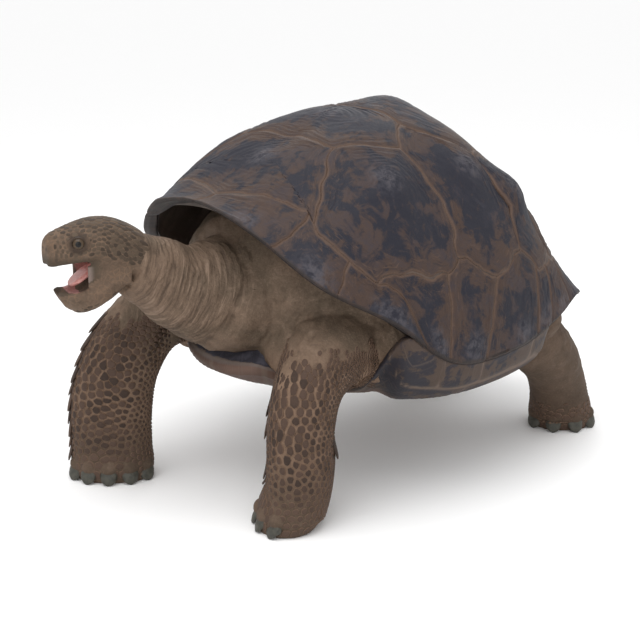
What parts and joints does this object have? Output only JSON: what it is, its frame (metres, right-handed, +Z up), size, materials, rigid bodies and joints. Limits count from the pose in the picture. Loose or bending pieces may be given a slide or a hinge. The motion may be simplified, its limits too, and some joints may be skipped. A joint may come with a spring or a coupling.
{
  "type": "giant tortoise",
  "caption": "Life-size giant tortoise, standing with its neck stretched out and its mouth open, under a high domed shell raised over the neck.",
  "frame": {"origin": "on the floor, under the middle of the whole animal's box", "axes": "+X to the animal's left, +Y to its rear (it faces -Y), +Z up"},
  "size_m": [0.7868, 1.298, 0.762],
  "materials": {
    "carapace": "satin, horn over bone",
    "plastron": "satin, horn over bone",
    "skin": "dry wrinkled skin",
    "foreleg": "dry skin under hard scales",
    "head": "smooth scaled skin",
    "jaw": "smooth scaled skin",
    "tongue": "wet",
    "eye": "wet gloss",
    "claw": "worn horn"
  },
  "bodies": {
    "root": {"carapace": "carapace", "claw_front_left_1": "claw", "claw_front_left_2": "claw", "claw_front_left_3": "claw", "claw_front_left_4": "claw", "claw_front_left_5": "claw", "claw_front_right_1": "claw", "claw_front_right_2": "claw", "claw_front_right_3": "claw", "claw_front_right_4": "claw", "claw_front_right_5": "claw", "claw_rear_left_1": "claw", "claw_rear_left_2": "claw", "claw_rear_left_3": "claw", "claw_rear_left_4": "claw", "claw_rear_right_1": "claw", "claw_rear_right_2": "claw", "claw_rear_right_3": "claw", "claw_rear_right_4": "claw", "eye_left": "eye", "eye_right": "eye", "foot_front_left": "foreleg", "foot_front_right": "foreleg", "foot_rear_left": "skin", "foot_rear_right": "skin", "head": "head", "jaw": "jaw", "lower_leg_front_left": "foreleg", "lower_leg_front_right": "foreleg", "lower_leg_rear_left": "skin", "lower_leg_rear_right": "skin", "neck": "skin", "plastron": "plastron", "tail": "skin", "tongue": "tongue", "trunk": "skin", "upper_leg_front_left": "foreleg", "upper_leg_front_right": "foreleg", "upper_leg_rear_left": "skin", "upper_leg_rear_right": "skin"}
  },
  "joints": []
}
